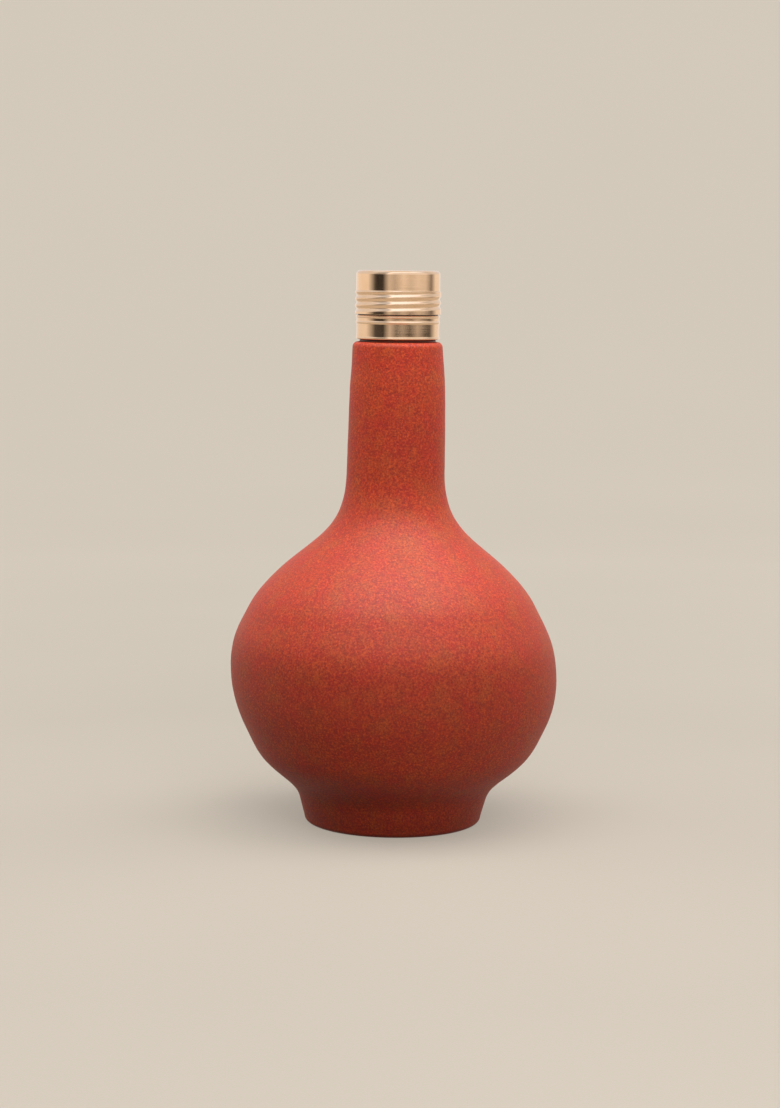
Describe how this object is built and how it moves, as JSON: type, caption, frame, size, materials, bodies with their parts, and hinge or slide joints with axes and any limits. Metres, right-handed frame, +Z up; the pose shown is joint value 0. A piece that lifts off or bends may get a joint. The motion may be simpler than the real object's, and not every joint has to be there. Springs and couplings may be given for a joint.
{
  "type": "terracotta water bottle",
  "caption": "Round-bellied terracotta water bottle on a foot ring, with a long neck and a rolled metal screw cap over a cemented threaded neck piece.",
  "frame": {"origin": "centre of the base, on the plane that the foot ring rests on", "axes": "+Z up along the bottle's axis; the body is round about it"},
  "size_m": [0.138, 0.138, 0.2322],
  "materials": {
    "terracotta": "matte unglazed red clay, fine grained",
    "neck_plastic": "moulded, dark brown",
    "cement": "cured food-safe resin",
    "gold_metal": "bright anodised, pale rose gold",
    "seal_plastic": "foamed sealing disc"
  },
  "bodies": {
    "bottle": {"clay_body": "terracotta", "neck_insert": "neck_plastic", "cement_ring": "cement", "neck_collar": "gold_metal"},
    "seal": {"cap_seal": "seal_plastic"},
    "cap": {"cap_shell": "gold_metal"}
  },
  "joints": [
    {"name": "cap_rise", "type": "slide", "parent": "bottle", "child": "seal", "axis": [0, 0, 1], "range_m": [0, 0.0224]},
    {"name": "cap_turn", "type": "hinge", "parent": "seal", "child": "cap", "pos_m": [0, 0, 0.2232], "axis": [0, 0, 1], "range_deg": [0, 2879]}
  ],
  "couplings": [
    {"joint": "cap_rise", "follows": "cap_turn", "m_per_rad": 0.00044563}
  ]
}
